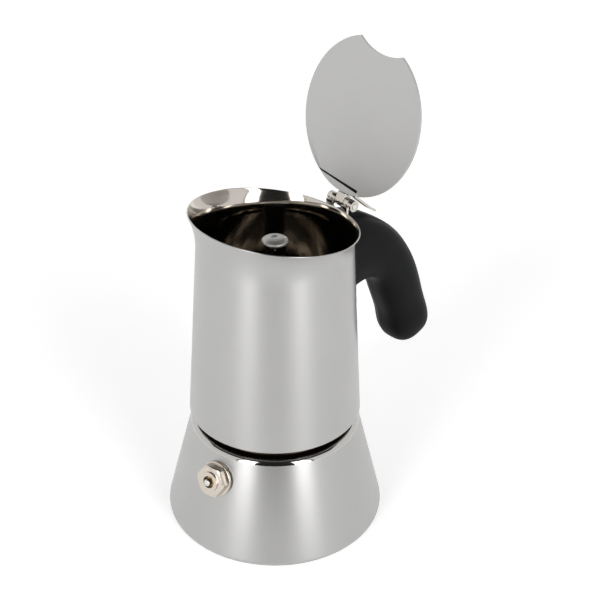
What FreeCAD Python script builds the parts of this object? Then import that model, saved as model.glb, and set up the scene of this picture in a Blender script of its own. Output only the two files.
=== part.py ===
import FreeCAD, Part
import math
import os

os.makedirs("parts", exist_ok=True)

# Stainless stove-top coffee maker (moka pot), millimetres.
# Origin: pot axis on the table. +Z up, +X toward the handle and lid hinge, the spout at -X.
# Every piece is drawn where it sits with the lid swung open against its stop.

# ---- driving dimensions ----
SHEET = 0.8                 # drawn steel wall
BASE_R = 45.0               # widest radius, just above the table
BASE_WIDE_Z = 2.6           # height of the widest circle
CONE_TOP_R = 34.93          # boiler wall just under the polished shoulder
CONE_TOP_Z = 42.6
SHOULDER_R = 32.6           # inner end of the shoulder round
SHOULDER_Z = 45.0
NECK_R = 30.0               # root radius of the neck thread
NECK_TOP_Z = 57.0

THREAD_PITCH = 3.0
MALE_CREST_R = 31.3
MALE_START_Z = 46.8
MALE_END_Z = 54.0
FEMALE_CREST_R = 30.35
FEMALE_ROOT_R = 31.65

SKIRT_R = 34.88             # collector wall at its lower edge
SKIRT_Z = 49.34
WALL_SLOPE = 0.0628         # radius lost per millimetre of height
FLARE_START_Z = 121.0
RIM_Z = 132.67              # rim plane on the pot axis
RIM_SLOPE = 0.142           # rim plane drops toward the handle
RIM_CENTRE_X = -0.7
RIM_HALF_X = 31.8
RIM_HALF_Y = 33.9
FLOOR_Z = 60.3              # underside of the collector floor

COLUMN_TOP_Z = 123.4
CAP_R = 5.1

HINGE_X = 34.4              # lid hinge axis, parallel to Y
HINGE_Z = 130.1
HINGE_HALF = 6.9
BARREL_R = 2.2
PIN_R = 1.2
LID_R = 30.74
LID_SHEET = 0.9
LID_REACH = 34.1            # hinge axis to lid centre, along the lid
LID_OFFSET = -0.13          # lid inner face beyond the hinge axis
LID_LEAN = 13.3             # degrees past upright when open
LID_SKEW = -6.3             # the disc is set round on its leaf by this angle
NOTCH_R = 25.0
NOTCH_DEPTH_AT = 25.6       # nearest point of the notch to the lid centre
CREASE_AT = 27.6            # crease distance from the lid centre

HANDLE_W = 20.0
STRIP_BOTTOM_Z = 69.5
STRIP_T = 3.2
STRIP_HALF = 11.2

VALVE_AZIMUTH = 193.1       # degrees round from the handle
VALVE_Z = 33.3
HEX_AF = 12.0


# ---- small helpers ----
def vec(x, y, z):
    return FreeCAD.Vector(x, y, z)


def save(node, shape):
    """Write one piece as its own STEP file."""
    if not shape.isValid():
        print("invalid shape:", node)
    shape.exportStep("parts/%s.step" % node)


def tube(outer_r, inner_r, z0, z1):
    """Plain ring or cylinder about Z."""
    body = Part.makeCylinder(outer_r, z1 - z0, vec(0, 0, z0))
    if inner_r > 0:
        body = body.cut(Part.makeCylinder(inner_r, z1 - z0 + 2, vec(0, 0, z0 - 1)))
    return body


def lathe(start, *steps):
    """Turn a closed (r, z) outline about Z. A step is a point, or (middle, end) of an arc."""
    edges = []
    here = vec(start[0], 0, start[1])
    for step in steps:
        if isinstance(step[0], tuple):
            mid = vec(step[0][0], 0, step[0][1])
            end = vec(step[1][0], 0, step[1][1])
            edges.append(Part.Arc(here, mid, end).toShape())
        else:
            end = vec(step[0], 0, step[1])
            edges.append(Part.makeLine(here, end))
        here = end
    edges.append(Part.makeLine(here, vec(start[0], 0, start[1])))
    face = Part.Face(Part.Wire(edges))
    return face.revolve(vec(0, 0, 0), vec(0, 0, 1), 360)


def hexagon(across_flats, z0, z1):
    """Hexagonal prism about Z with two flats facing +Y and -Y."""
    corner = across_flats / math.sqrt(3)
    points = []
    for i in range(7):
        angle = math.radians(60 * i)
        points.append(vec(corner * math.cos(angle), corner * math.sin(angle), z0))
    return Part.Face(Part.makePolygon(points)).extrude(vec(0, 0, z1 - z0))


def chamfered(prism, radius, z0, z1, slope=0.6):
    """Take the corners off both ends of a hexagon, as a turned nut has them."""
    bevel = (radius - HEX_AF / 2) * slope
    barrel = lathe((0, z0), (HEX_AF / 2, z0), (radius, z0 + bevel),
                   (radius, z1 - bevel), (HEX_AF / 2, z1), (0, z1))
    return prism.common(barrel)


def screw_ridge(inner_r, outer_r, z0, z1, foot, tip):
    """Right-hand helical ridge: foot and tip are its widths along the axis."""
    path = Part.Wire(Part.makeHelix(THREAD_PITCH, z1 - z0, inner_r))
    outline = Part.makePolygon([
        vec(inner_r, 0, z0 - foot / 2),
        vec(outer_r, 0, z0 - tip / 2),
        vec(outer_r, 0, z0 + tip / 2),
        vec(inner_r, 0, z0 + foot / 2),
        vec(inner_r, 0, z0 - foot / 2),
    ])
    path.translate(vec(0, 0, z0))
    return path.makePipeShell([outline], True, True)


def wall_r(z):
    """Outside radius of the straight part of the collector wall."""
    return SKIRT_R - WALL_SLOPE * (z - SKIRT_Z)


# ---- collector wall surface ----
def ring_at(height, inset):
    """Closed section of the collector wall. Above the straight part it tilts and flares."""
    t = max(0.0, (height - FLARE_START_Z) / (RIM_Z - FLARE_START_Z))
    swell = t ** 2.4
    half_x = wall_r(height) + (RIM_HALF_X - wall_r(RIM_Z)) * swell - inset
    half_y = wall_r(height) + (RIM_HALF_Y - wall_r(RIM_Z)) * swell - inset
    centre = RIM_CENTRE_X * swell
    tilt = RIM_SLOPE * t
    unit = Part.Wire(Part.makeCircle(1.0)).toNurbs()
    place = FreeCAD.Matrix(half_x, 0, 0, centre,
                           0, half_y, 0, 0,
                           -tilt * half_x, 0, 1, height - tilt * centre,
                           0, 0, 0, 1)
    return Part.Wire(unit.transformGeometry(place).Edges)


def flare_rings(inset):
    """Evenly spaced sections of the flare, all in the planes of the outer skin."""
    steps = 9
    return [ring_at(FLARE_START_Z + (RIM_Z - FLARE_START_Z) * i / steps, inset) for i in range(steps + 1)]


def flared_mouth():
    """Sheet between the outer and the inner flare skins, closed by two flat rings."""
    outer = flare_rings(0.0)
    inner = flare_rings(SHEET)
    faces = Part.makeLoft(outer, False, False).Faces + Part.makeLoft(inner, False, False).Faces
    for end in (0, -1):
        faces.append(Part.Face([outer[end], inner[end]]))
    shell = Part.makeShell(faces)
    shell.sewShape()
    solid = Part.Solid(shell)
    solid.fixTolerance(1e-4)
    return solid


# ---- boiler ----
boiler_wall = lathe(
    (42.6, 0.0),
    ((44.3, 0.75), (BASE_R, BASE_WIDE_Z)),
    (CONE_TOP_R, CONE_TOP_Z),
    ((34.28, 44.25), (SHOULDER_R, SHOULDER_Z)),
    (NECK_R, SHOULDER_Z),
    (NECK_R, NECK_TOP_Z),
    (NECK_R - SHEET, NECK_TOP_Z),
    (NECK_R - SHEET, SHOULDER_Z - SHEET),
    (SHOULDER_R, SHOULDER_Z - SHEET),
    ((33.7, 43.68), (CONE_TOP_R - SHEET, CONE_TOP_Z)),
    (BASE_R - SHEET, BASE_WIDE_Z),
    ((43.7, 1.5), (42.6, 1.2)),
)
thread_male = screw_ridge(NECK_R - 0.3, MALE_CREST_R, MALE_START_Z, MALE_END_Z, 2.0, 0.7)
boiler_wall = boiler_wall.fuse(thread_male)


# ---- safety valve: drawn about +Z, then stood on the boiler wall ----
def on_boiler(shape):
    """Turn a piece drawn about Z so that Z leaves the cone at right angles."""
    slope = math.degrees(math.atan2(BASE_R - CONE_TOP_R, CONE_TOP_Z - BASE_WIDE_Z))
    radius = BASE_R - (VALVE_Z - BASE_WIDE_Z) * math.tan(math.radians(slope))
    shape = shape.copy()
    shape.rotate(vec(0, 0, 0), vec(0, 0, 1), 90)
    shape.rotate(vec(0, 0, 0), vec(0, 1, 0), 90 - slope)
    shape.translate(vec(radius, 0, VALVE_Z))
    shape.rotate(vec(0, 0, 0), vec(0, 0, 1), VALVE_AZIMUTH)
    return shape


valve_body = tube(3.9, 0, -6.0, 1.4)
valve_head = chamfered(hexagon(HEX_AF, 1.4, 5.0), 6.7, 1.4, 5.0)
valve_body = valve_body.fuse(valve_head)
valve_body = valve_body.fuse(tube(4.1, 0, 5.0, 5.9))
valve_body = valve_body.cut(tube(2.5, 0, -5.0, 7.0))
valve_body = valve_body.cut(tube(1.3, 0, -7.0, -4.0))
valve_washer = tube(7.1, 3.95, 0.02, 1.38)
valve_gasket = tube(5.4, 3.95, -2.05, -1.25)
valve_nut = chamfered(hexagon(HEX_AF, -4.9, -2.05), 6.7, -4.9, -2.05)
valve_nut = valve_nut.cut(tube(3.95, 0, -6, 0))
valve_retainer = tube(2.48, 1.25, 2.6, 3.4)
pin_tip = 7.2               # the button shows past the collar, so that it can be pulled to test it
valve_pin = tube(2.1, 0, -4.6, -3.8).fuse([tube(0.95, 0, -3.8, 4.0), tube(1.4, 0, 3.7, pin_tip)])
valve_pin = valve_pin.makeFillet(0.5, [e for e in valve_pin.Edges if abs(e.BoundBox.ZMin - pin_tip) < 0.01
                                       and abs(e.BoundBox.ZMax - pin_tip) < 0.01])
valve_seal = tube(2.1, 0, -5.0, -4.6)

spring_turns = 4
spring_r = 1.7
spring_low = -3.45
spring_high = 2.25
spring_path = Part.Wire(Part.makeHelix((spring_high - spring_low) / spring_turns,
                                       spring_high - spring_low, spring_r))
spring_path.translate(vec(0, 0, spring_low))
spring_lead = (spring_high - spring_low) / spring_turns / (2 * math.pi * spring_r)
spring_wire = Part.Wire(Part.makeCircle(0.28, vec(spring_r, 0, spring_low), vec(0, 1, spring_lead)))
valve_spring = spring_path.makePipeShell([spring_wire], True, True)

boiler_wall = boiler_wall.cut(on_boiler(tube(4.0, 0, -4.0, 3.0)))
save("boiler_shell", boiler_wall)
save("boiler_base", lathe((0, 0.0), (10.0, 0.0), (11.5, 0.6), (35.0, 0.6), (36.5, 0.0), (42.6, 0.0),
                          (42.6, 1.2), (37.0, 1.2), (35.5, 1.8), (0, 1.8)))
save("valve_body", on_boiler(valve_body))
save("valve_washer", on_boiler(valve_washer))
save("valve_gasket", on_boiler(valve_gasket))
save("valve_nut", on_boiler(valve_nut))
save("valve_retainer", on_boiler(valve_retainer))
save("valve_spring", on_boiler(valve_spring))
save("valve_pin", on_boiler(valve_pin))
save("valve_seal", on_boiler(valve_seal))

# ---- coffee funnel: basket, sieve and stem ----
save("funnel_basket", lathe(
    (29.9, 57.0), (29.9, 57.8), (26.2, 57.8), (26.2, 37.0), (25.4, 37.0), (25.4, 35.9),
    (4.6, 30.6), (4.6, 28.6), (5.4, 28.6), (5.4, 29.9), (27.0, 35.4), (27.0, 57.0)))
save("funnel_stem", tube(4.58, 3.9, 6.0, 30.4))


def hole_rings(count, pitch, hole_r, z0, z1):
    """Rings of round holes about Z, spaced evenly."""
    holes = [Part.makeCylinder(hole_r, z1 - z0, vec(0, 0, z0))]
    for ring in range(1, count + 1):
        number = 6 * ring
        for i in range(number):
            angle = 2 * math.pi * i / number
            spot = vec(ring * pitch * math.cos(angle), ring * pitch * math.sin(angle), z0)
            holes.append(Part.makeCylinder(hole_r, z1 - z0, spot))
    return Part.makeCompound(holes)


save("funnel_sieve", tube(26.1, 0, 37.0, 37.6).cut(hole_rings(5, 4.4, 0.8, 36.0, 39.0)))

# ---- gasket and filter plate, carried up by the collector ----
save("gasket", lathe((24.0, 57.8), (29.6, 57.8), (29.6, FLOOR_Z), (27.1, FLOOR_Z),
                     (27.1, FLOOR_Z - 0.8), (24.0, FLOOR_Z - 0.8)))
save("filter_plate", tube(27.0, 0, FLOOR_Z - 0.8, FLOOR_Z).cut(
    hole_rings(5, 4.2, 0.8, FLOOR_Z - 2, FLOOR_Z + 1)))

# ---- collector ----
straight_wall = lathe((wall_r(SKIRT_Z), SKIRT_Z), (wall_r(FLARE_START_Z), FLARE_START_Z),
                      (wall_r(FLARE_START_Z) - SHEET, FLARE_START_Z), (wall_r(SKIRT_Z) - SHEET, SKIRT_Z))
save("collector_shell", straight_wall.fuse(flared_mouth()))

ring_low = 50.2
ring_high = FLOOR_Z
skin = 0.02
thread_ring = lathe(
    (FEMALE_CREST_R, ring_low), (wall_r(ring_low) - SHEET - skin, ring_low),
    (wall_r(ring_high) - SHEET - skin, ring_high), (FEMALE_CREST_R, ring_high))
groove = screw_ridge(FEMALE_CREST_R - 0.6, FEMALE_ROOT_R, MALE_START_Z, MALE_START_Z + 12.0, 2.9, 1.3)
thread_ring = thread_ring.cut(groove)
save("thread_ring", thread_ring)

save("collector_floor", lathe(
    (wall_r(FLOOR_Z) - SHEET - skin, FLOOR_Z), (wall_r(FLOOR_Z + 1) - SHEET - skin, FLOOR_Z + 1.0),
    (25.0, FLOOR_Z + 1.0), (5.9, 66.6), (5.9, 68.0), (5.1, 68.0), (5.1, 65.8), (24.7, FLOOR_Z)))

column = lathe((5.08, 64.0), (5.08, 70.0), (4.2, 78.0), (3.6, COLUMN_TOP_Z), (2.8, COLUMN_TOP_Z),
               (3.4, 78.0), (4.3, 70.0), (4.3, 64.0))
for side in (-1, 1):
    window = Part.makeBox(5.0, 3.6, 4.0, vec(-2.5, side * 3.4 - 1.8, COLUMN_TOP_Z - 5.2))
    column = column.cut(window)
save("column", column)
save("column_cap", lathe(
    (0.0, COLUMN_TOP_Z - 1.2), (2.75, COLUMN_TOP_Z - 1.2), (2.75, COLUMN_TOP_Z), (CAP_R, COLUMN_TOP_Z),
    ((CAP_R + 0.2, COLUMN_TOP_Z + 0.6), (CAP_R - 0.2, COLUMN_TOP_Z + 1.3)),
    ((3.4, COLUMN_TOP_Z + 2.05), (1.3, COLUMN_TOP_Z + 2.3)), (0.6, COLUMN_TOP_Z + 1.8), (0.0, COLUMN_TOP_Z + 1.8)))


# ---- hinge: drawn about the Y axis at the hinge line ----
def across(radius, y0, y1, x=HINGE_X, z=HINGE_Z):
    """Cylinder along Y."""
    return Part.makeCylinder(radius, y1 - y0, vec(x, y0, z), vec(0, 1, 0))


def wall_skin(low_gap, high_gap, half_width, z0, z1):
    """Curved plate that lies on the outside of the straight wall, on the handle side."""
    outer = lathe((0, z0), (wall_r(z0) + high_gap, z0), (wall_r(z1) + high_gap, z1), (0, z1))
    inner = lathe((0, z0 - 1), (wall_r(z0 - 1) + low_gap, z0 - 1),
                  (wall_r(z1 + 1) + low_gap, z1 + 1), (0, z1 + 1))
    strip = Part.makeBox(40, 2 * half_width, z1 - z0, vec(20, -half_width, z0))
    return outer.cut(inner).common(strip)


pot_side = lathe((0, 60), (wall_r(60), 60), (wall_r(FLARE_START_Z), FLARE_START_Z), (31.4, 129.0), (0, 129.0))
gap = 0.3
leaf_t = 1.0
seam = 2.2                  # half width of the gap that the lid's knuckle sits in
bracket_leaf = wall_skin(0.6, 0.6 + leaf_t, 6.0, 106.0, 125.4)
riser_x = wall_r(120.0) + 0.65
bracket_riser = Part.makeBox(leaf_t, 12.0, 9.0, vec(riser_x, -6.0, 121.2))
bracket_roof = Part.makeBox(HINGE_X - riser_x, 12.0, 1.1, vec(riser_x, -6.0, 129.1))
bracket = bracket_leaf.fuse(bracket_riser).fuse(bracket_roof)
knuckle_gap = across(BARREL_R + gap, -seam - 0.2, seam + 0.2)
arm_slot = Part.makeBox(HINGE_X - riser_x + 0.6, 2 * seam + 0.4, 6.0,
                        vec(riser_x - 0.6, -seam - 0.2, HINGE_Z - BARREL_R - 0.5))
bracket = bracket.cut([knuckle_gap, arm_slot])
for low, high in ((-HINGE_HALF, -seam - 0.2), (seam + 0.2, HINGE_HALF)):
    bracket = bracket.fuse(across(BARREL_R, low, high))
bracket = bracket.cut([across(PIN_R + 0.02, -10, 10), pot_side])
save("hinge_bracket", bracket.removeSplitter())
save("hinge_pin", across(PIN_R, -HINGE_HALF - 0.25, HINGE_HALF + 0.25))


# ---- lid: drawn about the hinge line with +X along the lid and +Z out of its inner face ----
def on_lid(shape):
    """Swing a piece drawn in lid directions up to the open position."""
    shape = shape.copy()
    shape.rotate(vec(0, 0, 0), vec(0, 1, 0), LID_LEAN - 90)
    shape.translate(vec(HINGE_X, 0, HINGE_Z))
    return shape


def side_plate(points, half_width):
    """Plate cut to an (x, z) outline and extruded across the hinge."""
    outline = [vec(x, -half_width, z) for x, z in points]
    outline.append(outline[0])
    return Part.Face(Part.makePolygon(outline)).extrude(vec(0, 2 * half_width, 0))


inner_face = -LID_OFFSET
outer_face = inner_face - LID_SHEET
disc = Part.makeCylinder(LID_R, LID_SHEET, vec(0, 0, outer_face))
disc = disc.cut(Part.makeCylinder(NOTCH_R, 10, vec(NOTCH_DEPTH_AT + NOTCH_R, 0, -5)))
crease = vec(-CREASE_AT, 0, outer_face)
tab_end = -9.6              # the tab is slit from the disc here
beyond = Part.makeBox(20, 60, 10, vec(-CREASE_AT - 20, tab_end, -5))
slit = Part.makeBox(20, 0.7, 10, vec(-CREASE_AT - 20 + 0.6, tab_end - 0.7, -5))
tab = disc.common(beyond)
tab.rotate(crease, vec(0, 1, 0), 13.0)
disc = disc.cut([beyond, slit]).fuse(tab)
disc.rotate(vec(0, 0, 0), vec(0, 0, 1), LID_SKEW)
disc.translate(vec(LID_REACH, 0, 0))
save("lid_plate", on_lid(disc))

leaf_sheet = 0.9
crease_x = LID_REACH - CREASE_AT
back_plate = Part.makeBox(12.0, 15.0, leaf_sheet, vec(crease_x + 0.3, -7.5, outer_face - leaf_sheet - 0.01))
back_plate = back_plate.makeFillet(3.0, [e for e in back_plate.Edges
                                         if e.BoundBox.XMin > crease_x + 12 and e.BoundBox.YLength < 0.1])
lever_path = [(3.1, outer_face - 0.35), (-2.3, -10.9), (-3.9, -14.7)]
lever = side_plate([
    lever_path[0], lever_path[1], lever_path[2],
    (lever_path[2][0] + 0.9, lever_path[2][1] - 0.3),
    (lever_path[1][0] + 0.9, lever_path[1][1] - 0.4),
    (lever_path[0][0] + 1.0, lever_path[0][1])], 5.0)
lever_root = Part.makeBox(crease_x - 2.6, 10.0, leaf_sheet, vec(3.1, -5.0, outer_face - leaf_sheet - 0.35))
knuckle = across(BARREL_R, -seam, seam, 0, 0)
knuckle_arm = side_plate([(0.0, -2.15), (3.6, outer_face - 0.5), (3.6, inner_face + 1.4), (0.0, 2.15)], seam)
lid_leaf = back_plate.fuse([lever_root, lever, knuckle, knuckle_arm])
lid_leaf = lid_leaf.cut(across(PIN_R + 0.05, -10, 10, 0, 0))
lid_leaf = lid_leaf.cut(disc)
save("lid_leaf", on_lid(lid_leaf.removeSplitter()))


# ---- handle: soft oval sections strung between a back line and a finger line ----
HANDLE_BACK = [(29.0, 127.3), (31.0, 127.0), (38.5, 125.2), (46.7, 121.1), (55.3, 115.4), (63.4, 107.6),
               (69.9, 98.0), (74.8, 86.8), (78.4, 76.0), (82.1, 65.2)]
HANDLE_FINGER = [(29.0, 87.5), (31.0, 88.8), (37.5, 91.4), (43.4, 92.8), (48.5, 91.6), (51.8, 88.0),
                 (54.3, 82.4), (57.0, 75.4), (60.2, 66.8), (63.4, 57.0)]
TIP_DEPTH = 7.6             # length of the rounded end
SQUARENESS = 2.6            # 2 is an ellipse, more is squarer


def oval(centre, half, half_width):
    """Closed superellipse whose first half axis is the vector half, the second runs along Y."""
    edges = []
    steps = 12
    for side in (0, 1):
        points = []
        for i in range(steps + 1):
            angle = math.pi * (side + i / steps)
            c = math.cos(angle)
            s = math.sin(angle)
            a = math.copysign(abs(c) ** (2 / SQUARENESS), c)
            b = math.copysign(abs(s) ** (2 / SQUARENESS), s)
            points.append(vec(centre.x + half.x * a, half_width * b, centre.z + half.z * a))
        sign = 1 if side == 0 else -1
        curve = Part.BSplineCurve()
        curve.interpolate(Points=points, InitialTangent=vec(0, sign, 0), FinalTangent=vec(0, -sign, 0))
        edges.append(curve.toShape())
    return Part.Wire(edges)


sections = []
for back, finger in zip(HANDLE_BACK, HANDLE_FINGER):
    centre = vec((back[0] + finger[0]) / 2, 0, (back[1] + finger[1]) / 2)
    half = vec((back[0] - finger[0]) / 2, 0, (back[1] - finger[1]) / 2)
    sections.append(oval(centre, half, HANDLE_W / 2))
along = vec(half.z, 0, -half.x)
along.normalize()
for part_of_tip in (0.45, 0.75, 0.93):
    shrink = math.sqrt(1 - part_of_tip ** 2)
    sections.append(oval(centre + along * (TIP_DEPTH * part_of_tip), half * shrink, HANDLE_W / 2 * shrink))
grip = Part.makeLoft(sections, True, False)

strip = wall_skin(-0.5, STRIP_T, STRIP_HALF, STRIP_BOTTOM_Z, 116.0)
taper = side_plate([(32.0, STRIP_BOTTOM_Z - 1), (50.0, STRIP_BOTTOM_Z - 1), (50.0, STRIP_BOTTOM_Z + 16),
                    (wall_r(83.0) + STRIP_T, STRIP_BOTTOM_Z + 16), (wall_r(67.0) + 1.2, STRIP_BOTTOM_Z - 1)], 14)
strip = strip.cut(taper)
screw_z = 77.0
bracket_t = 1.2
riser_room = Part.makeBox(riser_x + leaf_t + 0.3 - 25.0, 12.6, 14.0, vec(25.0, -6.3, 120.0))
grip = grip.fuse(strip).cut([
    pot_side,
    riser_room,
    wall_skin(-1.0, 0.6 + leaf_t + 0.25, 6.3, 105.5, 130.0),
    wall_skin(-1.0, bracket_t + 0.1, 5.1, 70.0, 100.0)])


def out_along_x(outer_r, x0, x1, tip_r=None):
    """Round bar or cone along X at the handle screw."""
    if tip_r is None:
        return Part.makeCylinder(outer_r, x1 - x0, vec(x0, 0, screw_z), vec(1, 0, 0))
    return Part.makeCone(outer_r, tip_r, x1 - x0, vec(x0, 0, screw_z), vec(1, 0, 0))


seat_x = wall_r(screw_z) + bracket_t
head_x = seat_x + 0.75
screw = out_along_x(1.6, seat_x - 1.0, head_x + 0.5).fuse(out_along_x(1.6, head_x - 0.55, head_x + 0.95, 3.1))
slot = Part.makeBox(1.0, 7.0, 0.8, vec(head_x + 0.35, -3.5, screw_z - 0.4))
screw = screw.cut(slot)
grip = grip.cut([
    out_along_x(1.9, seat_x - 3.0, head_x + 2.0),
    out_along_x(1.9, head_x - 0.55, head_x + 0.97, 3.4),
    out_along_x(3.4, head_x + 0.9, 50.0)])
save("handle_grip", grip)
save("handle_screw", screw)
bracket_plate = wall_skin(0.02, bracket_t, 5.0, 70.3, 99.7)
save("handle_bracket", bracket_plate.cut(out_along_x(1.62, 20, 50)))
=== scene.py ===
import math

import bmesh
import bpy
from mathutils import Matrix, Vector


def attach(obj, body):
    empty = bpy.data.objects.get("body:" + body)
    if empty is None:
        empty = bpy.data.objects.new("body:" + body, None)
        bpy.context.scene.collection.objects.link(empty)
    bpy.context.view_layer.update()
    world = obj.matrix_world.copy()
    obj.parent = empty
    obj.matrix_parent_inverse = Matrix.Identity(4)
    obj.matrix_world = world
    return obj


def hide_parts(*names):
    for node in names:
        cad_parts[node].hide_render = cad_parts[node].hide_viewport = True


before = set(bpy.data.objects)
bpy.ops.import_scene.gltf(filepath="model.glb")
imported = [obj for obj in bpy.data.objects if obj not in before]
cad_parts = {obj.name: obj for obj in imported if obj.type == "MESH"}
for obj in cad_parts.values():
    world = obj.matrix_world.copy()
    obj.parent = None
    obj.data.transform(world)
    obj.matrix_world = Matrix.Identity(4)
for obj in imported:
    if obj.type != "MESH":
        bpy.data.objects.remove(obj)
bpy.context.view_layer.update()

scene = bpy.context.scene
scene.view_settings.view_transform = "Standard"

# ---- Camera ----
# It stands a little above the pot, in front of the safety valve, and looks down on
# the open mouth. A long lens keeps the cone of the boiler nearly undistorted.
camera = bpy.data.objects.new("camera", bpy.data.cameras.new("camera"))
scene.collection.objects.link(camera)
camera.location = (-0.2619, -0.3189, 0.3443)
camera.rotation_euler = (math.radians(59.15), 0.0, math.radians(-39.4))
camera.data.lens = 73.8
camera.data.sensor_width = 36.0
camera.data.shift_x = 0.0417
scene.camera = camera

# ---- Boiler ----
# The water chamber is deep drawn from 0.8 mm stainless sheet: a satin cone brushed
# on the lathe, a mirror-polished shoulder, and a neck with a rolled screw thread.
MM = 0.001
ROUND_STEPS = 6
SMOOTH_BELOW = math.radians(32)
SEAM = 1e-6


class Signal:
    """A value in a material. Sums and products with numbers or signals add Math nodes."""

    def __init__(self, finish, socket):
        self.finish = finish
        self.socket = socket

    def _math(self, operation, first, second):
        return self.finish.node("ShaderNodeMath", {"operation": operation}, {0: first, 1: second})

    def __add__(self, other):
        return self._math("ADD", self, other)

    def __sub__(self, other):
        return self._math("SUBTRACT", self, other)

    def __rsub__(self, other):
        return self._math("SUBTRACT", other, self)

    def __mul__(self, other):
        return self._math("MULTIPLY", self, other)

    __radd__ = __add__
    __rmul__ = __mul__


class Finish:
    """One material: its nodes, and the shader that they feed."""

    def __init__(self, name):
        self.material = bpy.data.materials.new(name)
        self.material.use_nodes = True
        self.tree = self.material.node_tree
        self.shader = self.tree.nodes["Principled BSDF"]

    def fill(self, node, sockets):
        for key, value in sockets.items():
            if isinstance(value, Signal):
                self.tree.links.new(value.socket, node.inputs[key])
            else:
                node.inputs[key].default_value = value

    def node(self, kind, settings=None, sockets=None, output=0):
        """Add a node, set it up, connect it, and return one of its outputs."""
        node = self.tree.nodes.new(kind)
        for key, value in (settings or {}).items():
            if key == "stops":
                ramp = node.color_ramp.elements
                while len(ramp) < len(value):
                    ramp.new(0.5)
                for stop, (position, colour) in zip(ramp, value):
                    stop.position = position
                    stop.color = colour
            else:
                setattr(node, key, value)
        self.fill(node, sockets or {})
        return Signal(self, node.outputs[output])

    def noise(self, stretch, detail=2.0, rough=0.5):
        """Noise on the piece's own coordinates, with a number of grains per metre on each axis."""
        place = self.node("ShaderNodeTexCoord", output="Object")
        stretched = self.node("ShaderNodeMapping", {"vector_type": "POINT"},
                              {"Vector": place, "Scale": stretch})
        return self.node("ShaderNodeTexNoise", {"noise_dimensions": "3D"},
                         {"Vector": stretched, "Scale": 1.0, "Detail": detail, "Roughness": rough})

    def blend(self, amount, first, second):
        return self.node("ShaderNodeMix", {"data_type": "RGBA"}, {0: amount, 6: first, 7: second}, output=2)

    def bump(self, height, depth):
        return self.node("ShaderNodeBump", None, {"Strength": 1.0, "Distance": depth, "Height": height})

    def surface(self, sockets):
        self.fill(self.shader, sockets)
        return self.material


# The brushing lines run round the pot, so the light is drawn out along its height.
ACROSS_THE_GRAIN = 0.25
SMUDGE_STRETCH = (34.0, 34.0, 26.0)
SMUDGE_GLOSS = 0.18
SMUDGE_TINT = 0.7
LINE_TINT = 0.3


def steel(name, colour, stain, roughness, anisotropy, grain, grain_rough, depth):
    """Stainless steel with its brushing lines, a few handling smudges and a faint tint."""
    finish = Finish(name)
    lines = finish.noise(grain, detail=4.0, rough=0.65)
    smudge = finish.noise(SMUDGE_STRETCH, detail=3.0)
    worn = roughness + (lines - 0.5) * grain_rough + (smudge - 0.5) * (SMUDGE_GLOSS * roughness)
    tint = finish.blend(smudge * SMUDGE_TINT + lines * LINE_TINT, colour, stain)
    return finish.surface({
        "Base Color": tint, "Roughness": worn, "Metallic": 1.0, "Anisotropic": anisotropy,
        "Anisotropic Rotation": ACROSS_THE_GRAIN, "Normal": finish.bump(lines, depth)})


def turned(outline, segments=192):
    """Spin (radius, height, corner rounding) points, in millimetres, about the pot's axis."""
    bm = bmesh.new()
    points = [bm.verts.new((point[0] * MM, 0.0, point[1] * MM)) for point in outline]
    for first, second in zip(points, points[1:]):
        bm.edges.new((first, second))
    if outline[0][0] > 0:
        bm.edges.new((points[-1], points[0]))
    for corner, point in zip(points, outline):
        if len(point) == 3:
            bmesh.ops.bevel(bm, geom=[corner], offset=point[2] * MM, offset_type="OFFSET",
                            segments=ROUND_STEPS, profile=0.5, affect="VERTICES", material=-1,
                            clamp_overlap=True)
    bmesh.ops.spin(bm, geom=bm.verts[:] + bm.edges[:], cent=(0, 0, 0), axis=(0, 0, 1),
                   angle=math.tau, steps=segments, use_merge=True)
    bmesh.ops.remove_doubles(bm, verts=bm.verts, dist=SEAM)
    bmesh.ops.recalc_face_normals(bm, faces=bm.faces)
    return bm


RIDGE_FOOT = 1.0
RIDGE_CREST = 0.35
THREAD_STEPS = 96


def add_thread(bm, foot_r, crest_r, low, high, pitch):
    """Rolled right-hand thread: a small ridge spun round while it climbs."""
    ridge = bmesh.new()
    section = [(foot_r, low - RIDGE_FOOT), (crest_r, low - RIDGE_CREST),
               (crest_r, low + RIDGE_CREST), (foot_r, low + RIDGE_FOOT)]
    corners = [ridge.verts.new((r * MM, 0.0, z * MM)) for r, z in section]
    for first, second in zip(corners, corners[1:] + corners[:1]):
        ridge.edges.new((first, second))
    turns = (high - low) / pitch
    steps = round(THREAD_STEPS * turns)
    bmesh.ops.spin(ridge, geom=ridge.verts[:] + ridge.edges[:], cent=(0, 0, 0), axis=(0, 0, 1),
                   dvec=(0, 0, (high - low) * MM / steps), angle=math.tau * turns, steps=steps)
    bmesh.ops.holes_fill(ridge, edges=ridge.edges, sides=4)
    bmesh.ops.recalc_face_normals(ridge, faces=ridge.faces)
    carried = bpy.data.meshes.new("thread")
    ridge.to_mesh(carried)
    bm.from_mesh(carried)
    ridge.free()
    bpy.data.meshes.remove(carried)


def piece(name, bm, body, finishes, nodes, smooth_below=SMOOTH_BELOW):
    """Make the mesh an object that rides a body and stands for CAD nodes."""
    mesh = bpy.data.meshes.new(name)
    bm.to_mesh(mesh)
    bm.free()
    for polygon in mesh.polygons:
        polygon.use_smooth = True
    mesh.set_sharp_from_angle(angle=smooth_below)
    for finish in finishes:
        mesh.materials.append(finish)
    made = bpy.data.objects.new(name, mesh)
    scene.collection.objects.link(made)
    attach(made, body)
    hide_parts(*nodes)
    return made


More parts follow.
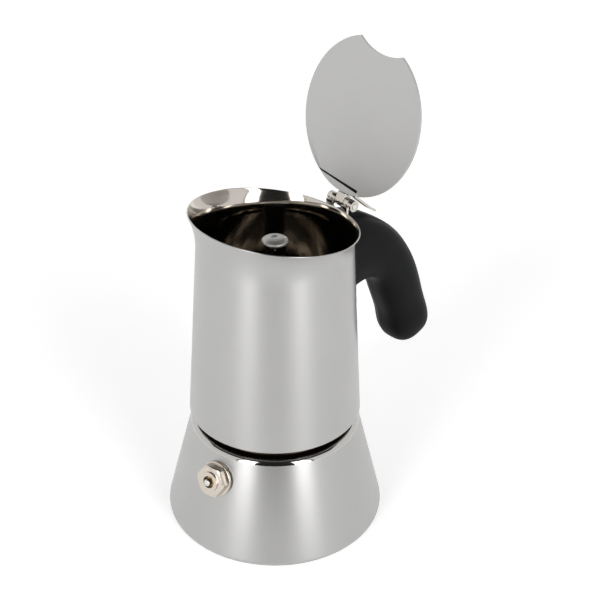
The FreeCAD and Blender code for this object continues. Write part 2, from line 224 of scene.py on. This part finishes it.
satin_steel = steel("satin_steel", (0.475, 0.473, 0.467, 1), (0.430, 0.427, 0.420, 1), 0.355, 0.62,
                    (70.0, 70.0, 5200.0), 0.10, 0.0000012)
polished_steel = steel("polished_steel", (0.52, 0.515, 0.50, 1), (0.46, 0.45, 0.43, 1), 0.06, 0.0,
                       (140.0, 140.0, 900.0), 0.03, 0.0000003)
# Painted shade: this near-black brown stands for the shadow in the gap under the collector. It colours the
# boiler's neck and thread, and the collector's inside below its floor.
neck_painted_shade = steel("neck_painted_shade", (0.055, 0.040, 0.032, 1), (0.035, 0.025, 0.020, 1), 0.34, 0.0,
                   (300.0, 300.0, 900.0), 0.12, 0.000002)
SHOULDER_FROM_Z = 43.2
NECK_FROM_Z = 44.9
NECK_WITHIN_R = 32.7
boiler = turned([(42.6, 0.0), (45.65, 0.0, 2.6), (34.33, 45.0, 2.0), (30.0, 45.0, 0.5),
                 (30.0, 57.0, 0.3), (29.2, 57.0, 0.3), (29.2, 44.2, 0.6), (33.7, 44.2, 1.3),
                 (44.52, 1.2, 1.6), (42.6, 1.2)])
add_thread(boiler, foot_r=29.8, crest_r=31.3, low=46.8, high=54.0, pitch=3.0)
# Faces on the neck take the painted shade.
for face in boiler.faces:
    middle = face.calc_center_median()
    on_neck = middle.z > NECK_FROM_Z * MM and middle.xy.length < NECK_WITHIN_R * MM
    face.material_index = 2 if on_neck else int(middle.z > SHOULDER_FROM_Z * MM)
piece("boiler_shell", boiler, "boiler", [satin_steel, polished_steel, neck_painted_shade],
      ["boiler_shell"])

# The base is a separate pressed disc, seamed into the foot of the cone. It stands on its
# rim and a small flat boss, and the band between them is raised off the stove.
base_steel = steel("base_steel", (0.60, 0.595, 0.585, 1), (0.52, 0.51, 0.49, 1), 0.30, 0.3,
                   (420.0, 420.0, 420.0), 0.12, 0.000002)
base = turned([(0.0, 0.0), (10.0, 0.0, 0.5), (11.5, 0.6, 0.5), (35.0, 0.6, 0.8), (36.5, 0.0, 0.5),
               (42.6, 0.0, 0.2), (42.6, 1.2), (37.0, 1.2, 0.4), (35.5, 1.8, 0.6), (0.0, 1.8)])
piece("boiler_base", base, "boiler", [base_steel], ["boiler_base"])

# ---- Safety valve ----
# A nickel-plated brass valve is screwed through the cone: a washer outside, a nut and a
# gasket inside, and a spring that holds the relief pin shut.
SHARP_FROM = math.radians(30)
FLAT_WITHIN = math.radians(0.6)
MERGE = 2e-6


def refined(node, edge):
    """Merge a CAD node's loose triangles, join its flats, and break its sharp edges."""
    bm = bmesh.new()
    bm.from_mesh(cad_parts[node].data)
    bmesh.ops.remove_doubles(bm, verts=bm.verts, dist=MERGE)
    bmesh.ops.dissolve_limit(bm, angle_limit=FLAT_WITHIN, verts=bm.verts, edges=bm.edges,
                             delimit={"NORMAL"})
    if edge > 0:
        corners = [e for e in bm.edges if len(e.link_faces) == 2 and e.calc_face_angle(0.0) > SHARP_FROM]
        bmesh.ops.bevel(bm, geom=corners, offset=edge * MM, offset_type="OFFSET", segments=2, profile=0.5,
                        affect="EDGES", material=-1, clamp_overlap=True)
    return bm


def dress(node, finish):
    """Give a CAD node that keeps its shape its finish."""
    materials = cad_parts[node].data.materials
    materials.clear()
    materials.append(finish)


nickel_brass = steel("nickel_brass", (0.66, 0.60, 0.535, 1), (0.56, 0.50, 0.43, 1), 0.20, 0.0,
                     (600.0, 600.0, 600.0), 0.10, 0.000004)
pin_steel = steel("pin_steel", (0.72, 0.70, 0.67, 1), (0.60, 0.58, 0.55, 1), 0.16, 0.0,
                  (900.0, 900.0, 900.0), 0.08, 0.000002)
spring_steel = steel("spring_steel", (0.50, 0.50, 0.50, 1), (0.40, 0.39, 0.38, 1), 0.25, 0.0,
                     (1500.0, 1500.0, 1500.0), 0.10, 0.000003)
brass = steel("brass", (0.66, 0.50, 0.25, 1), (0.52, 0.38, 0.18, 1), 0.28, 0.0,
              (500.0, 500.0, 500.0), 0.12, 0.000004)

rubber = Finish("silicone")
rubber_speck = rubber.noise((900.0, 900.0, 900.0), detail=3.0)
silicone = rubber.surface({
    "Base Color": rubber.blend(rubber_speck, (0.62, 0.60, 0.56, 1), (0.52, 0.50, 0.46, 1)),
    "Roughness": 0.5 + (rubber_speck - 0.5) * 0.2,
    "Normal": rubber.bump(rubber_speck, 0.00001)})

for node, edge in (("valve_body", 0.18), ("valve_washer", 0.25), ("valve_nut", 0.18)):
    piece(node, refined(node, edge), "boiler", [nickel_brass], [node])
piece("valve_pin", refined("valve_pin", 0.08), "relief_pin", [pin_steel], ["valve_pin"])
dress("valve_gasket", silicone)
dress("valve_retainer", brass)
dress("valve_spring", spring_steel)
dress("valve_seal", silicone)

# ---- Coffee funnel ----
# Pressed basket with a perforated sieve, and the stem that the water climbs. It hangs in
# the boiler's neck by its rolled edge.
pressed_steel = steel("pressed_steel", (0.56, 0.55, 0.535, 1), (0.47, 0.455, 0.43, 1), 0.24, 0.0,
                      (160.0, 160.0, 800.0), 0.10, 0.000001)
for node in ("funnel_basket", "funnel_stem", "funnel_sieve"):
    dress(node, pressed_steel)

# ---- Gasket and filter plate ----
# A soft ring seals the collector on the boiler's neck and holds the perforated plate.
dress("gasket", silicone)
dress("filter_plate", pressed_steel)

# ---- Collector ----
# The upper vessel is one drawn sheet: a satin wall that narrows upwards, then flares to a
# tilted oval rim, wider at the spout, with the inside and the lip mirror polished. The
# inside below the floor is painted near-black brown as painted shade.
SKIRT_R = 34.88
SKIRT_Z = 49.34
WALL_SLOPE = 0.0628
SHEET = 0.8
FLARE_Z = 121.0
RIM_Z = 132.67
RIM_HALF_X = 31.8
RIM_HALF_Y = 33.9
RIM_SHIFT = -0.7
RIM_TILT = 0.142
FLARE_CURVE = 2.4
FLARE_THINNING = 0.25
SKIRT_TOP_Z = 49.5
FLOOR_Z = 61
FLARE_STEPS = 14
AROUND = 224


def wall_radius(height):
    return SKIRT_R - WALL_SLOPE * (height - SKIRT_Z)


def ring_place(height, inset, lift=0.0):
    """Where a unit circle goes to be the wall's section at a height: shrunk, moved and tilted."""
    along = max(0.0, (height - FLARE_Z) / (RIM_Z - FLARE_Z))
    swell = along ** FLARE_CURVE
    half_x = (wall_radius(height) + (RIM_HALF_X - wall_radius(RIM_Z)) * swell - inset) * MM
    half_y = (wall_radius(height) + (RIM_HALF_Y - wall_radius(RIM_Z)) * swell - inset) * MM
    centre = RIM_SHIFT * swell * MM
    tilt = RIM_TILT * along
    return Matrix(((half_x, 0, 0, centre), (0, half_y, 0, 0),
                   (-tilt * half_x, 0, MM, (height + lift) * MM - tilt * centre), (0, 0, 0, 1)))


flare = [FLARE_Z + (RIM_Z - FLARE_Z) * step / FLARE_STEPS for step in range(FLARE_STEPS + 1)]
straight = [49.8, 60.0, 72.0, 85.0, 98.0, 110.0]
rings = [(SKIRT_Z, 0.25)] + [(height, 0.0) for height in [SKIRT_TOP_Z] + straight + flare]
rings += [(RIM_Z, 0.08, 0.16), (RIM_Z, 0.28, 0.25), (RIM_Z, 0.47, 0.16)]
rings += [(height, SHEET - FLARE_THINNING * (height - FLARE_Z) / (RIM_Z - FLARE_Z))
          for height in flare[::-1]]
rings += [(height, SHEET) for height in straight[::-1] + [SKIRT_TOP_Z]] + [(SKIRT_Z, 0.55)]

collector = bmesh.new()
bmesh.ops.create_circle(collector, cap_ends=False, segments=AROUND, radius=1.0)
place = ring_place(*rings[0])
bmesh.ops.transform(collector, matrix=place, verts=collector.verts)
edge_loop = collector.edges[:]
for ring in rings[1:] + rings[:1]:
    grown = bmesh.ops.extrude_edge_only(collector, edges=edge_loop)["geom"]
    edge_loop = [part for part in grown if isinstance(part, bmesh.types.BMEdge)]
    next_place = ring_place(*ring)
    bmesh.ops.transform(collector, matrix=next_place @ place.inverted(),
                        verts=[part for part in grown if isinstance(part, bmesh.types.BMVert)])
    place = next_place
bmesh.ops.remove_doubles(collector, verts=collector.verts, dist=SEAM)
bmesh.ops.recalc_face_normals(collector, faces=collector.faces)
STEEPER_THAN = 0.93
for face in collector.faces:
    middle = face.calc_center_median()
    faces_axis = face.normal.x * middle.x + face.normal.y * middle.y < 0
    faces_in = faces_axis and abs(face.normal.z) < STEEPER_THAN
    face.material_index = (2 if middle.z < FLOOR_Z * MM else 1) if faces_in else 0
inner_steel = steel("inner_steel", (0.60, 0.565, 0.52, 1), (0.50, 0.46, 0.41, 1), 0.10, 0.0,
                    (160.0, 160.0, 420.0), 0.06, 0.0000006)
piece("collector_shell", collector, "collector", [satin_steel, inner_steel, neck_painted_shade],
      ["collector_shell"])

# The floor, with the raised seat of the column, is pressed in from below, and the ring
# with the female thread is welded under it.
piece("collector_floor", refined("collector_floor", 0.0), "collector",
      [inner_steel], ["collector_floor"])
dress("thread_ring", pressed_steel)

# The coffee rises through a tapered column and leaves it by two windows under a domed cap.
cap_steel = steel("cap_steel", (0.60, 0.595, 0.58, 1), (0.50, 0.49, 0.475, 1), 0.46, 0.0,
                  (500.0, 500.0, 500.0), 0.12, 0.000002)
# The column's dark brown-grey is painted shade for the inside of the pot, not the steel's own tone.
column_painted_shade = steel("column_painted_shade", (0.16, 0.145, 0.13, 1), (0.10, 0.09, 0.08, 1), 0.30, 0.0,
                     (300.0, 300.0, 500.0), 0.12, 0.000002)
cap = turned([(0.0, 122.2), (2.75, 122.2), (2.75, 123.4, 0.2), (5.1, 123.4, 0.2), (5.3, 124.3, 0.6),
              (3.9, 125.35, 0.9), (1.5, 125.72, 0.4), (1.0, 125.2, 0.35), (0.0, 125.2)], segments=96)
piece("column", refined("column", 0.0), "collector", [column_painted_shade], ["column"])
piece("column_cap", cap, "collector", [cap_steel], ["column_cap"])

# ---- Handle ----
# Moulded black phenolic, hooked over the hinge bracket and screwed to a bracket low on
# the wall. The mould leaves soft edges and a fine matt grain.
GRIP_VOXEL = 0.45
GRIP_PASSES = 5
plastic = Finish("black_plastic")
grain = plastic.noise((2600.0, 2600.0, 2600.0), detail=3.0, rough=0.6)
cloud = plastic.noise((60.0, 60.0, 60.0), detail=2.0)
black_plastic = plastic.surface({
    "Base Color": plastic.blend(cloud * 0.6 + grain * 0.4, (0.0050, 0.0052, 0.0057, 1),
                                (0.0085, 0.0088, 0.0096, 1)),
    "Roughness": 0.46 + (cloud - 0.5) * 0.16 + (grain - 0.5) * 0.12,
    "Specular IOR Level": 0.06, "Normal": plastic.bump(grain, 0.000012)})

blank = bpy.data.meshes.new("grip_blank")
rough_grip = refined("handle_grip", 0.0)
rough_grip.to_mesh(blank)
rough_grip.free()
grip_blank = bpy.data.objects.new("grip_blank", blank)
scene.collection.objects.link(grip_blank)
remesh = grip_blank.modifiers.new("remesh", "REMESH")
remesh.mode = "VOXEL"
remesh.voxel_size = GRIP_VOXEL * MM
bpy.context.view_layer.update()
depsgraph = bpy.context.evaluated_depsgraph_get()
moulded = bpy.data.meshes.new_from_object(grip_blank.evaluated_get(depsgraph))
grip = bmesh.new()
grip.from_mesh(moulded)
for _ in range(GRIP_PASSES):
    bmesh.ops.smooth_vert(grip, verts=grip.verts, factor=0.5,
                          use_axis_x=True, use_axis_y=True, use_axis_z=True)
bpy.data.objects.remove(grip_blank)
bpy.data.meshes.remove(blank)
bpy.data.meshes.remove(moulded)
piece("handle_grip", grip, "collector", [black_plastic], ["handle_grip"])
piece("handle_screw", refined("handle_screw", 0.1), "collector", [pin_steel],
      ["handle_screw"])
piece("handle_bracket", refined("handle_bracket", 0.1), "collector", [pressed_steel],
      ["handle_bracket"])

# ---- Hinge ----
# A leaf spot-welded to the wall carries two rolled ears. The lid's own knuckle sits
# between them on a bright pin.
hinge_steel = steel("hinge_steel", (0.62, 0.59, 0.55, 1), (0.50, 0.465, 0.42, 1), 0.15, 0.0,
                    (500.0, 3000.0, 500.0), 0.10, 0.000002)
piece("hinge_bracket", refined("hinge_bracket", 0.14), "collector", [hinge_steel],
      ["hinge_bracket"])
piece("hinge_pin", refined("hinge_pin", 0.3), "collector", [pin_steel], ["hinge_pin"])

# ---- Lid ----
# A flat satin disc with a notch over the spout. A groove, wider at its -Y end, marks
# the crease near the hinge, and its near-black colour is painted shade. The leaf with the
# thumb lever lies on the lid's outer face.
HINGE_X = 34.4
HINGE_Z = 130.1
LEAN = math.radians(13.3 - 90)
LID_OUT = 34.1
LID_TURN = math.radians(-6.3)
LID_SMOOTH_BELOW = math.radians(9)
CREASE_X = -27.5
CREASE_HALF = 0.4
CREASE_DEPTH = 0.35
CREASE_WIDENING = 0.4
CREASE_LONGER_THAN = 3
lid_steel = steel("lid_steel", (0.515, 0.513, 0.507, 1), (0.485, 0.482, 0.475, 1), 0.56, 0.0,
                  (300.0, 5000.0, 300.0), 0.06, 0.0000008)
# Painted shade: the groove along the crease is coloured near-black to stand for its shadow.
crease_painted_shade = steel("crease_painted_shade", (0.030, 0.027, 0.024, 1), (0.020, 0.018, 0.016, 1), 0.45, 0.0,
                     (900.0, 900.0, 900.0), 0.10, 0.000002)
lid_place = (Matrix.Translation((HINGE_X * MM, 0, HINGE_Z * MM)) @ Matrix.Rotation(LEAN, 4, "Y")
             @ Matrix.Translation((LID_OUT * MM, 0, 0)) @ Matrix.Rotation(LID_TURN, 4, "Z"))
lid = refined("lid_plate", 0.2)
bmesh.ops.transform(lid, matrix=lid_place.inverted(), verts=lid.verts)
crease = [edge for edge in lid.edges if edge.calc_length() > CREASE_LONGER_THAN * MM
          and all(abs(v.co.x - CREASE_X * MM) < 0.3 * MM and v.co.z > -0.2 * MM for v in edge.verts)]
grooved = bmesh.ops.bevel(lid, geom=crease, offset=CREASE_HALF * MM, offset_type="OFFSET", segments=2,
                          profile=0.5, affect="EDGES", material=-1, clamp_overlap=False)
for face in grooved["faces"]:
    face.material_index = 1
for vert in grooved["verts"]:
    if abs(vert.co.x - CREASE_X * MM) < 0.2 * MM:
        vert.co.z -= CREASE_DEPTH * MM
    elif vert.co.x > CREASE_X * MM and vert.co.y < 0:
        vert.co.x += CREASE_WIDENING * MM
bmesh.ops.transform(lid, matrix=lid_place, verts=lid.verts)
piece("lid_plate", lid, "lid", [lid_steel, crease_painted_shade], ["lid_plate"], LID_SMOOTH_BELOW)
piece("lid_leaf", refined("lid_leaf", 0.12), "lid", [hinge_steel], ["lid_leaf"])

# ---- Studio ----
# A plain pale floor and a white surround. Two tall soft boxes stand either side of the
# camera, and dark cards behind it and overhead give the steel something to reflect.
FLOOR_RADIUS = 6.0
floor_finish = Finish("floor")
floor_speck = floor_finish.noise((40.0, 40.0, 40.0))
floor_paper = floor_finish.surface({
    "Base Color": floor_finish.blend(floor_speck, (0.90, 0.90, 0.90, 1), (0.92, 0.92, 0.92, 1)),
    "Roughness": 0.9, "Specular IOR Level": 0.1, "Emission Color": (1.0, 1.0, 1.0, 1),
    "Emission Strength": 0.42})
ground = bmesh.new()
bmesh.ops.create_circle(ground, cap_ends=True, segments=64, radius=FLOOR_RADIUS)
ground_mesh = bpy.data.meshes.new("floor")
ground.to_mesh(ground_mesh)
ground.free()
ground_mesh.materials.append(floor_paper)
floor = bpy.data.objects.new("floor", ground_mesh)
scene.collection.objects.link(floor)

world = bpy.data.worlds.new("surround")
world.use_nodes = True
world.node_tree.nodes["Background"].inputs["Color"].default_value = (1.0, 1.0, 1.0, 1)
world.node_tree.nodes["Background"].inputs["Strength"].default_value = 1.0
scene.world = world

card_finish = Finish("dark_card")
card_speck = card_finish.noise((20.0, 20.0, 20.0))
dark_card = card_finish.surface({
    "Base Color": card_finish.blend(card_speck, (0.012, 0.011, 0.010, 1), (0.016, 0.015, 0.014, 1)),
    "Roughness": 0.9})
TOWARDS_CAMERA = math.radians(230.6)
SOFT_BOX_AROUND = 34.0
STAND_AROUND = 46.5
STUDIO_DISTANCE = 1.1


def standing(azimuth, distance, low, width, height):
    """Place, turn and size of an upright panel that faces the pot, at an angle round from the camera."""
    angle = TOWARDS_CAMERA + math.radians(azimuth)
    spot = Vector((distance * math.cos(angle), distance * math.sin(angle), low + height / 2))
    turn = Matrix.Rotation(angle - math.pi / 2, 4, "Z") @ Matrix.Rotation(-math.pi / 2, 4, "X")
    return Matrix.Translation(spot) @ turn @ Matrix.Diagonal((width, height, 1, 1))


def card(name, place):
    """A dark panel that the pot reflects but the camera doesn't see."""
    bm = bmesh.new()
    bmesh.ops.create_grid(bm, x_segments=1, y_segments=1, size=0.5)
    bmesh.ops.transform(bm, matrix=place, verts=bm.verts)
    mesh = bpy.data.meshes.new(name)
    bm.to_mesh(mesh)
    bm.free()
    mesh.materials.append(dark_card)
    panel = bpy.data.objects.new(name, mesh)
    scene.collection.objects.link(panel)
    panel.visible_camera = False


def soft_box(name, place, width, height, watts):
    lamp = bpy.data.lights.new(name, "AREA")
    lamp.shape = "RECTANGLE"
    lamp.size = width
    lamp.size_y = height
    lamp.energy = watts
    light = bpy.data.objects.new(name, lamp)
    light.matrix_world = place
    scene.collection.objects.link(light)
    light.visible_camera = False


for side, name in ((-1, "left"), (1, "right")):
    box_place = standing(side * SOFT_BOX_AROUND, STUDIO_DISTANCE, low=0.0, width=1.0, height=1.5)
    soft_box(name + "_soft_box", box_place, width=0.37, height=1.5, watts=10.5)
    card(name + "_stand", standing(side * STAND_AROUND, STUDIO_DISTANCE, low=0.0, width=0.03, height=1.6))
card("card_behind_camera", standing(0.0, 1.2, low=0.0, width=1.05, height=1.6))
card("card_overhead", Matrix.Translation((0.0, 0.0, 1.3)) @ Matrix.Diagonal((2.2, 2.2, 1, 1)))
